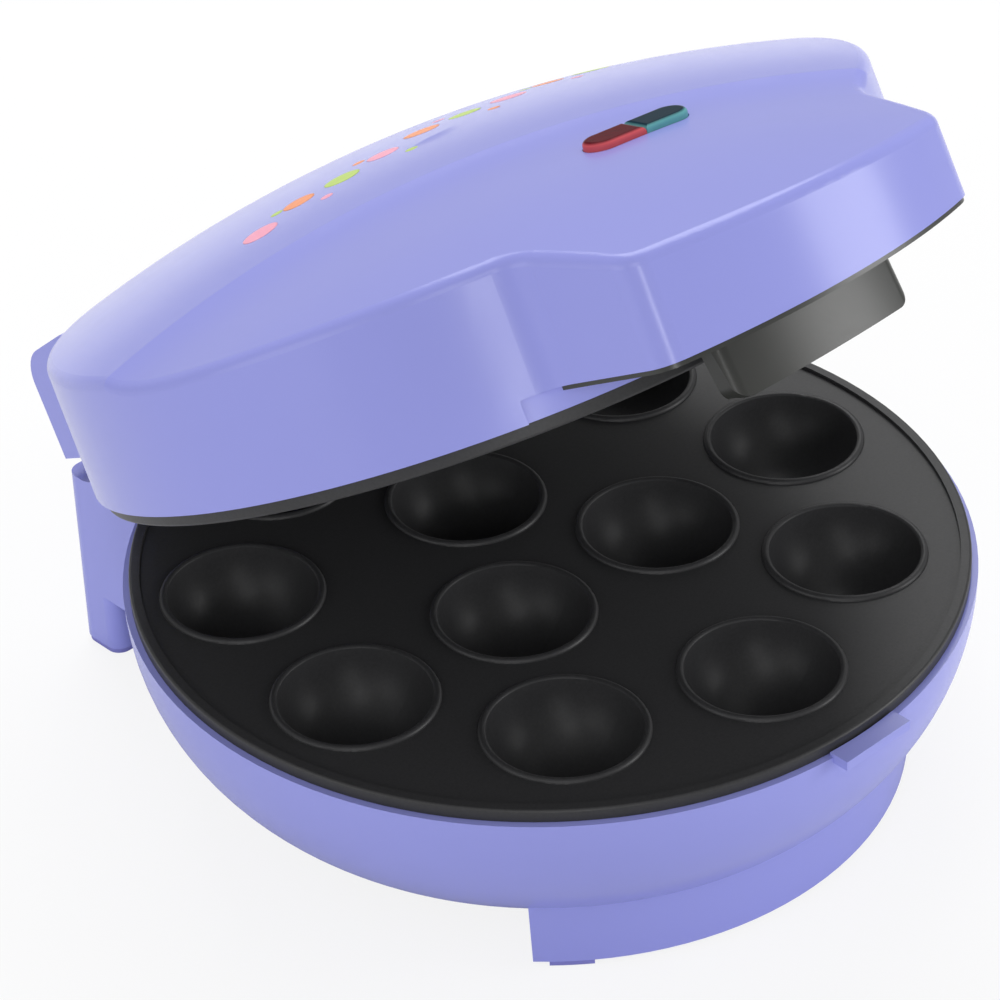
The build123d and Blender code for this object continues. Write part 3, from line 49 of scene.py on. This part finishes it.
plate = nodes["lower_cooking_plate"]
plate_corners = np.array([plate.matrix_world @ Vector(corner) for corner in plate.bound_box])
plate_middle = (plate_corners.min(axis=0) + plate_corners.max(axis=0)) / 2
plate_middle[2] = plate_corners[:, 2].max()

CAMERA_FROM_PLATE = (-0.59347, -0.62994, 0.62560)
CAMERA_RIGHT = (0.71931, -0.69380, -0.03510)
CAMERA_DOWN = (-0.42176, -0.39601, -0.81566)
CAMERA_AHEAD = (0.55200, 0.60152, -0.57747)
camera_data = bpy.data.cameras.new("camera")
camera_data.sensor_width = 36.0
camera_data.lens = 159.85
camera_data.clip_start = 0.05
camera = bpy.data.objects.new("camera", camera_data)
right, down, ahead = (Vector(v).normalized() for v in (CAMERA_RIGHT, CAMERA_DOWN, CAMERA_AHEAD))
turn = Matrix((right, -down, -ahead)).transposed().to_4x4()
camera.matrix_world = Matrix.Translation(Vector(CAMERA_FROM_PLATE) + Vector(plate_middle)) @ turn
scene.collection.objects.link(camera)
scene.camera = camera


def srgb(code):
    """A colour written as an sRGB hex code, turned to linear light."""
    value = np.array([int(code[i : i + 2], 16) for i in (1, 3, 5)]) / 255.0
    linear = np.where(value <= 0.04045, value / 12.92, ((value + 0.055) / 1.055) ** 2.4)
    return (*linear.tolist(), 1.0)


def add_node(tree, kind, settings=None, links=None, values=None):
    """One shader node added to a tree, with its settings, linked sockets and plain values."""
    node = tree.nodes.new(kind)
    for name, value in (settings or {}).items():
        setattr(node, name, value)
    for name, value in (values or {}).items():
        node.inputs[name].default_value = value
    for name, socket in (links or {}).items():
        tree.links.new(socket, node.inputs[name])
    return node


def soft_lamp(name, place, target, size, watts):
    """A rectangular lamp of a width and height, at a place and turned to a target."""
    data = bpy.data.lights.new(name, "AREA")
    data.shape = "RECTANGLE"
    data.size, data.size_y = size
    data.energy = watts
    lamp = bpy.data.objects.new(name, data)
    facing = (Vector(target) - Vector(place)).to_track_quat("-Z", "Y").to_matrix().to_4x4()
    lamp.matrix_world = Matrix.Translation(place) @ facing
    scene.collection.objects.link(lamp)


soft_lamp("top_lamp", (0.40, 0.55, 1.10), (0.0, 0.0, 0.10), (0.9, 0.9), 10.0)
soft_lamp("side_panel", (0.94, -1.06, 0.36), (0.0, -0.08, 0.14), (0.6, 0.8), 8.5)
soft_lamp("front_lamp", (-0.9, -0.75, 0.95), (0.0, 0.0, 0.06), (0.5, 0.5), 2.0)
soft_lamp("left_panel", (-1.30, 0.15, 0.40), (0.0, 0.0, 0.06), (0.9, 0.7), 3.0)
soft_lamp("front_strip", (-0.95, -1.25, 0.32), (0.0, -0.05, 0.12), (0.16, 0.6), 3.0)


WHITE = (1.0, 1.0, 1.0, 1.0)
ROOM_LEVEL, BACKDROP_LEVEL = 0.50, 1.0


def seen_directly(tree):
    """One for camera and see-through rays, nought for light and mirrorings on the object."""
    path = add_node(tree, "ShaderNodeLightPath")
    either = add_node(
        tree,
        "ShaderNodeMath",
        {"operation": "MAXIMUM"},
        {0: path.outputs["Is Camera Ray"], 1: path.outputs["Is Transmission Ray"]},
    )
    return either.outputs[0]


world = bpy.data.worlds.new("surround")
world.use_nodes = True
tree = world.node_tree
tree.nodes.clear()
room, backdrop = (
    add_node(tree, "ShaderNodeBackground", values={"Color": WHITE, "Strength": level})
    for level in (ROOM_LEVEL, BACKDROP_LEVEL)
)
surround = add_node(
    tree,
    "ShaderNodeMixShader",
    links={0: seen_directly(tree), 1: room.outputs[0], 2: backdrop.outputs[0]},
)
add_node(tree, "ShaderNodeOutputWorld", links={"Surface": surround.outputs[0]})
scene.world = world


def material(name):
    """An empty node material with its Principled shader, tree and object coordinates."""
    made = bpy.data.materials.new(name)
    made.use_nodes = True
    tree = made.node_tree
    shader = tree.nodes["Principled BSDF"]
    place = add_node(tree, "ShaderNodeTexCoord").outputs["Object"]
    return made, tree, shader, place


TABLE_HALF_WIDTH, TABLE_DROP, TABLE_LINES = 6.0, 0.0002, 9
TABLE_GLOW = 0.85


def table_surface():
    """A flat square grid: each line's place runs evenly from one side to the other."""
    line = np.linspace(-TABLE_HALF_WIDTH, TABLE_HALF_WIDTH, TABLE_LINES)
    x, y = np.meshgrid(line, line)
    points = np.stack([x, y, np.full_like(x, -TABLE_DROP)], axis=-1)
    index = np.arange(TABLE_LINES**2).reshape(TABLE_LINES, TABLE_LINES)
    quads = np.stack([index[:-1, :-1], index[:-1, 1:], index[1:, 1:], index[1:, :-1]], axis=-1)
    mesh = bpy.data.meshes.new("table")
    mesh.from_pydata(points.reshape(-1, 3).tolist(), [], quads.reshape(-1, 4).tolist())
    return bpy.data.objects.new("table", mesh)


# White laminate, quite matt. To the camera most of it glows, so that it is as white as the
# backdrop, and the lit rest of it takes the object's shadow.
table = table_surface()
scene.collection.objects.link(table)
table_laminate, tree, shader, place = material("white laminate table")
shader.inputs["Base Color"].default_value = srgb("#EDEDED")
shader.inputs["Roughness"].default_value = 0.9
shader.inputs["Specular IOR Level"].default_value = 0.0
glow = add_node(tree, "ShaderNodeEmission", values={"Color": WHITE, "Strength": 1.0})
glow_share = add_node(
    tree,
    "ShaderNodeMath",
    {"operation": "MULTIPLY"},
    {0: seen_directly(tree)},
    {1: TABLE_GLOW},
)
lit_table = add_node(
    tree,
    "ShaderNodeMixShader",
    links={0: glow_share.outputs[0], 1: shader.outputs[0], 2: glow.outputs[0]},
)
tree.links.new(lit_table.outputs[0], tree.nodes["Material Output"].inputs["Surface"])
table.data.materials.append(table_laminate)

# ---------------------------------------------------------------- lavender shells
# Base and lid are injection-moulded ABS in lavender, from a polished mould: semi-gloss, with
# a very faint waviness that softens what they mirror. The wave is drawn 0.01 mm deep.


def coat(
    name, tones, tone_grain, rough, rough_grain=None, skin_grain=None, skin_mm=0.0, skin_share=1.0
):
    """A finish on Object coordinates, whose tone, gloss and skin each follow a noise.

    A grain is its lumps' width in millimetres and its detail. The colour runs between two
    hex tones with its grain. The roughness is one number, or runs between two with a grain.
    A skin is raised by its grain to a depth in millimetres, or a share of that depth.
    """
    made, tree, shader, place = material(name)
    noises = {}
    for use, grain in (("tone", tone_grain), ("rough", rough_grain), ("skin", skin_grain)):
        if grain:
            lump_mm, detail = grain
            noise = add_node(
                tree,
                "ShaderNodeTexNoise",
                links={"Vector": place},
                values={"Scale": 1000.0 / lump_mm, "Detail": detail},
            )
            noises[use] = noise.outputs["Fac"]
    colour = add_node(
        tree,
        "ShaderNodeMix",
        {"data_type": "RGBA"},
        {0: noises["tone"]},
        {6: srgb(tones[0]), 7: srgb(tones[1])},
    )
    tree.links.new(colour.outputs[2], shader.inputs["Base Color"])
    if rough_grain:
        gloss = add_node(
            tree,
            "ShaderNodeMapRange",
            links={"Value": noises["rough"]},
            values={"To Min": rough[0], "To Max": rough[1]},
        )
        tree.links.new(gloss.outputs["Result"], shader.inputs["Roughness"])
    else:
        shader.inputs["Roughness"].default_value = rough
    if skin_grain:
        skin = add_node(
            tree,
            "ShaderNodeBump",
            links={"Height": noises["skin"]},
            values={"Distance": skin_mm / 1000.0, "Strength": skin_share},
        )
        tree.links.new(skin.outputs["Normal"], shader.inputs["Normal"])
    return made, shader


def dress(names, made):
    """Gives CAD nodes a finish in their only material slot."""
    for name in names:
        mesh = nodes[name].data
        mesh.materials.clear()
        mesh.materials.append(made)


lavender_abs, shader = coat(
    "lavender moulded ABS",
    tones=("#9397DE", "#9195DA"),
    tone_grain=(60.0, 2.0),
    rough=(0.20, 0.25),
    rough_grain=(9.0, 2.0),
    skin_grain=(14.0, 0.0),
    skin_mm=0.01,
    skin_share=0.3,
)
shader.inputs["IOR"].default_value = 1.45
shader.inputs["Specular IOR Level"].default_value = 0.42
dress(["base_shell", "lid_shell"], lavender_abs)

# ---------------------------------------------------------------- printed dots on the dome
# A loose row of confetti dots in three inks, pad-printed on the dome behind its crest. The
# film of ink is drawn 0.08 mm thick, so that it lies on the plastic and has an edge.
DOME_RIM_RADIUS, DOME_RIM_HEIGHT, DOME_RISE = 0.1010, 0.0366, 0.0161
CREST_TURN, CREST_MIDDLE, CREST_SAG, CREST_HALF = np.radians(29.5), -0.0460, 0.0055, 0.086
PLATES_MEET = 0.0002
INK_HALF_THICKNESS = 0.00004
INK_TURNS, INK_STEPS = 28, 9
INK_EDGE_POWER, INK_FLAT_POWER = 0.7, 0.3
lid_joint = next(joint for joint in frame["joints"] if joint["name"] == "lid_hinge")
lid_turn = np.radians(lid_joint["range_deg"][0])
hinge_place = np.array(lid_joint["pos_m"])


def on_dome(along, behind, lift):
    """Points on the opened lid's dome: a distance along the crest, one behind it, and a lift.

    The dome is a ball's cap over the plates. Its point is found over a plan place, lifted
    from the ball's centre, and turned about the hinge by the lid's opening angle.
    """
    ahead = -CREST_SAG * (1 - (along / CREST_HALF) ** 2) - behind
    x = along * np.cos(CREST_TURN) - ahead * np.sin(CREST_TURN)
    y = CREST_MIDDLE - along * np.sin(CREST_TURN) - ahead * np.cos(CREST_TURN)
    ball = (DOME_RIM_RADIUS**2 + DOME_RISE**2) / (2 * DOME_RISE)
    z = np.sqrt(ball**2 - x * x - y * y)
    shut = np.stack([x, y, z], axis=-1) * (1 + lift[..., None] / ball)
    shut[..., 2] += DOME_RIM_HEIGHT + DOME_RISE - ball
    arm = shut + plate_middle + (0.0, 0.0, PLATES_MEET) - hinge_place
    up, back = np.cos(lid_turn), np.sin(lid_turn)
    y, z = arm[..., 1] * up - arm[..., 2] * back, arm[..., 1] * back + arm[..., 2] * up
    return np.stack([arm[..., 0], y, z], axis=-1) + hinge_place


def ink_dots(name, ink, places, radii):
    """Round films of ink: a flattened ball round each place, whose half height is the film's.

    On a grid of turns and steps from its top to its underside, a film's radius goes as the
    sine of the step and its height as the cosine, raised to a small power to be flat.
    """
    step = np.linspace(0.0, np.pi, INK_STEPS)[None, :, None]
    turn = np.linspace(0.0, 2 * np.pi, INK_TURNS, endpoint=False)[None, None, :]
    reach = radii[:, None, None] * np.sin(step) ** INK_EDGE_POWER
    lift = INK_HALF_THICKNESS * np.sign(np.cos(step)) * np.abs(np.cos(step)) ** INK_FLAT_POWER
    along = places[:, 0, None, None] + reach * np.cos(turn)
    behind = places[:, 1, None, None] + reach * np.sin(turn)
    points = on_dome(along, behind, lift)
    index = np.arange(len(places) * INK_STEPS * INK_TURNS).reshape(-1, INK_STEPS, INK_TURNS)
    onward = np.roll(index, -1, axis=2)
    quads = np.stack([index[:, :-1], index[:, 1:], onward[:, 1:], onward[:, :-1]], axis=-1)
    mesh = bpy.data.meshes.new(name)
    mesh.from_pydata(points.reshape(-1, 3).tolist(), [], quads.reshape(-1, 4).tolist())
    shape = bmesh.new()
    shape.from_mesh(mesh)
    bmesh.ops.remove_doubles(shape, verts=shape.verts, dist=1e-8)
    bmesh.ops.recalc_face_normals(shape, faces=shape.faces)
    shape.to_mesh(mesh)
    shape.free()
    mesh.shade_smooth()
    piece = bpy.data.objects.new(name, mesh)
    scene.collection.objects.link(piece)
    # Pad-printing ink dries to an even satin, duller than the polished plastic round it.
    pad_ink, shader = coat(name + " ink", tones=ink, tone_grain=(0.8, 2.0), rough=0.38)
    shader.inputs["Specular IOR Level"].default_value = 0.36
    mesh.materials.append(pad_ink)
    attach(piece, "lid")


# Large dots lie along the crest on a gentle wave, every other one a little smaller. A small
# dot stands beside each, by turns ahead of the row and behind it.
DOTS_IN_ROW = 9
ROW_START, ROW_PITCH = -0.068, 0.0115
ROW_BEHIND, ROW_DRIFT, ROW_WAVE, ROW_WAVE_TURN = 0.023, 0.0060, 0.003, 1.9
LARGE_RADIUS, LARGE_LESS, SMALL_RADIUS = 0.0046, 0.0005, 0.0016
SMALL_ALONG, SMALL_ASIDE = 0.0058, 0.0098
INKS = {
    "pink_print": ("#F09AB4", "#F4A6BE"),
    "orange_print": ("#F0905A", "#F49C68"),
    "lime_print": ("#B2CE58", "#BCD666"),
}

count = np.arange(DOTS_IN_ROW)
wave = ROW_WAVE * np.sin(ROW_WAVE_TURN * count)
row = np.stack([ROW_START + ROW_PITCH * count, ROW_BEHIND + ROW_DRIFT * count + wave], axis=-1)
row_radii = LARGE_RADIUS - LARGE_LESS * (count % 2)
side = np.where(count % 2, -1.0, 1.0)
small_row = row + np.stack([np.full(DOTS_IN_ROW, SMALL_ALONG), SMALL_ASIDE * side], axis=-1)
for first, (name, ink) in enumerate(INKS.items()):
    large = row[first :: len(INKS)]
    small = small_row[(first + 1) % len(INKS) :: len(INKS)]
    radii = np.concatenate([row_radii[first :: len(INKS)], np.full(len(small), SMALL_RADIUS)])
    ink_dots(name, ink, np.concatenate([large, small]), radii)

# ---------------------------------------------------------------- cooking plates
# Die-cast aluminium sprayed with a black non-stick coat and baked. The coat is satin and
# soft to the light, with a fine speckle that stands up a little as a pebbled skin.
SPECKLE = (0.7, 4.0)
non_stick, shader = coat(
    "black non-stick coat",
    tones=("#29292A", "#38383A"),
    tone_grain=SPECKLE,
    rough=(0.36, 0.46),
    rough_grain=(1.2, 2.0),
    skin_grain=SPECKLE,
    skin_mm=0.02,
    skin_share=0.5,
)
shader.inputs["IOR"].default_value = 1.38
dress(["lower_cooking_plate", "upper_cooking_plate"], non_stick)

# ---------------------------------------------------------------- latch and handle underside
# The flap that hooks under the base's catch is glass-filled nylon, moulded in near-black, and
# the cover under the handle is given the same near-black finish. The fibres leave a satin skin
# that blurs what it mirrors.
dark_nylon, shader = coat(
    "dark grey nylon",
    tones=("#2A2B29", "#30312E"),
    tone_grain=(12.0, 2.0),
    rough=(0.26, 0.34),
    rough_grain=(0.8, 2.0),
    skin_grain=(0.5, 2.0),
    skin_mm=0.006,
    skin_share=0.5,
)
dress(["latch", "handle_underside_cover"], dark_nylon)

# ---------------------------------------------------------------- signal lamp
# Two halves of a tinted acrylic window, red and green, moulded, polished and pressed into
# the lid. Over the tint, a painted dark reflection makes the top deep, and a painted
# highlight makes the sloping sides paler. The choice follows how far each face turns from the
# lid's up.
# Painted light: each half's "side" tones are a painted highlight and its "top" tones a painted
# dark reflection, laid over its real red or green tint.
LENS_TINTS_WITH_PAINTED_LIGHT = {
    "red": {"top": ("#4A0210", "#5C0616"), "side": ("#C2505A", "#D25E62")},
    "green": {"top": ("#04202E", "#072C3C"), "side": ("#5C9CA0", "#6AAAAC")},
}
TINT_LUMPS_MM = 3.0
PAINTED_HIGHLIGHT_FACING, PAINTED_DARK_REFLECTION_FACING = 0.55, 0.92
lid_up = (0.0, -np.sin(lid_turn), np.cos(lid_turn))
for name, tints_with_painted_light in LENS_TINTS_WITH_PAINTED_LIGHT.items():
    lens, tree, shader, place = material(name + " acrylic lens")
    facing = add_node(
        tree,
        "ShaderNodeVectorMath",
        {"operation": "DOT_PRODUCT"},
        {0: add_node(tree, "ShaderNodeTexCoord").outputs["Normal"]},
        {1: lid_up},
    )
    painted_light_by_facing = add_node(
        tree,
        "ShaderNodeMapRange",
        links={"Value": facing.outputs["Value"]},
        values={"From Min": PAINTED_HIGHLIGHT_FACING, "From Max": PAINTED_DARK_REFLECTION_FACING},
    )
    tint_noise = add_node(
        tree,
        "ShaderNodeTexNoise",
        links={"Vector": place},
        values={"Scale": 1000.0 / TINT_LUMPS_MM, "Detail": 2.0},
    )
    painted_highlight_tint, painted_dark_reflection_tint = (
        add_node(
            tree,
            "ShaderNodeMix",
            {"data_type": "RGBA"},
            {0: tint_noise.outputs["Fac"]},
            {6: srgb(tints_with_painted_light[part][0]), 7: srgb(tints_with_painted_light[part][1])},
        )
        for part in ("side", "top")
    )
    # The lens colour is painted light: painted highlight on the sloping sides, painted dark
    # reflection on top.
    lens_colour_with_painted_light = add_node(
        tree,
        "ShaderNodeMix",
        {"data_type": "RGBA"},
        {0: painted_light_by_facing.outputs["Result"], 6: painted_highlight_tint.outputs[2], 7: painted_dark_reflection_tint.outputs[2]},
    )
    tree.links.new(lens_colour_with_painted_light.outputs[2], shader.inputs["Base Color"])
    shader.inputs["Roughness"].default_value = 0.10
    shader.inputs["IOR"].default_value = 1.49
    shader.inputs["Specular IOR Level"].default_value = 0.03
    dress([name + "_light_lens"], lens)

# ---------------------------------------------------------------- lamp bulbs
# Two little neon bulbs of clear glass stand under the window, one under each half. Drawn
# glass gives them a bright, smooth skin, warm from the gas and the wires inside.
bulb_glass, shader = coat(
    "lamp glass", tones=("#E8C9A8", "#F0D8BE"), tone_grain=(2.0, 2.0), rough=0.1
)
dress(["neon_lamps"], bulb_glass)

# ---------------------------------------------------------------- screws, pins and cut-outs
# Screws, hinge pins and the latch's pin are turned from steel wire, and the thermostats and
# the fuse have drawn steel cases. Fine turning marks make their gloss vary in small patches.
turned_steel, shader = coat(
    "turned steel",
    tones=("#8F8F92", "#A5A5A8"),
    tone_grain=(2.0, 2.0),
    rough=(0.28, 0.42),
    rough_grain=(0.6, 2.0),
)
shader.inputs["Metallic"].default_value = 1.0
dress([name for name in nodes if name.endswith("screws")], turned_steel)
dress(["hinge_pins", "latch_pivot_pin"], turned_steel)
dress(["thermal_fuse", "lower_thermostat", "upper_thermostat"], turned_steel)

# ---------------------------------------------------------------- heating elements
# A steel tube with the heating wire inside, bent to a ring and pressed against its plate.
# Heat has browned its drawn skin unevenly and taken the shine off.
heated_steel, shader = coat(
    "heated steel sheath", tones=("#5E5750", "#7B736A"), tone_grain=(6.0, 2.0), rough=0.45
)
shader.inputs["Metallic"].default_value = 1.0
dress(["lower_heating_element", "upper_heating_element"], heated_steel)

# ---------------------------------------------------------------- heat shields
# Pans pressed from aluminium sheet, screwed on behind the elements to keep the shells cool.
# Rolled sheet is pale and bright, with a gloss that varies a little.
aluminium_sheet, shader = coat(
    "aluminium sheet",
    tones=("#B9BABC", "#C9CACC"),
    tone_grain=(4.0, 2.0),
    rough=(0.3, 0.4),
    rough_grain=(1.5, 2.0),
)
shader.inputs["Metallic"].default_value = 1.0
dress(["lower_heat_shield", "upper_heat_shield"], aluminium_sheet)

# ---------------------------------------------------------------- inlet grommet
# A black rubber bush in the back wall, where the cord comes in. Moulded rubber is matt, with
# a fine skin 0.03 mm deep.
black_rubber, shader = coat(
    "black rubber",
    tones=("#1B1B1C", "#242425"),
    tone_grain=(2.0, 2.0),
    rough=0.7,
    skin_grain=(0.6, 2.0),
    skin_mm=0.03,
)
dress(["inlet_grommet"], black_rubber)

# ---------------------------------------------------------------- feet
# Pads of softer rubber, coloured near the shell's lavender, plugged into the front foot and
# the rear legs. They are matt, with the same fine skin.
pad_rubber, shader = coat(
    "lavender-grey pad rubber",
    tones=("#7A7AC0", "#8080C6"),
    tone_grain=(2.0, 2.0),
    rough=0.65,
    skin_grain=(0.6, 2.0),
    skin_mm=0.03,
)
dress(["front_feet", "rear_feet"], pad_rubber)

# ---------------------------------------------------------------- bottom cover
# The cover screwed under the bowl is the shells' ABS from a mould that wasn't polished. Its
# textured skin is matt, so it looks a shade darker than the bowl.
textured_abs, shader = coat(
    "matt lavender ABS",
    tones=("#8585C2", "#8A8AC8"),
    tone_grain=(20.0, 2.0),
    rough=0.5,
    skin_grain=(0.8, 2.0),
    skin_mm=0.02,
)
dress(["bottom_cover"], textured_abs)

# ---------------------------------------------------------------- terminal block, lamp holder
# Both are moulded in undyed nylon, which stays off-white and satin, and has faint flow marks.
undyed_nylon, shader = coat(
    "off-white nylon", tones=("#DEDBCF", "#E6E3D8"), tone_grain=(5.0, 2.0), rough=0.5
)
dress(["terminal_block", "lamp_holder"], undyed_nylon)

# ---------------------------------------------------------------- wiring
# Copper leads in sleeves braided from glass fibre, which stands the plates' heat. The braid
# is drawn as a grain 0.6 mm wide, and is quite matt.
glass_sleeve, shader = coat(
    "glass-fibre sleeve", tones=("#C9C7BF", "#E0DED6"), tone_grain=(0.6, 2.0), rough=0.8
)
dress(["base_wiring", "lid_wiring"], glass_sleeve)

# ---------------------------------------------------------------- hinge bushes
# Turned brass sleeves pressed into the lid's ear, which turn on the steel pins. They are
# bright and yellow, with a soft sheen from the lathe.
turned_brass, shader = coat(
    "turned brass", tones=("#B4904E", "#C7A360"), tone_grain=(2.0, 2.0), rough=0.3
)
shader.inputs["Metallic"].default_value = 1.0
dress(["hinge_bushes"], turned_brass)
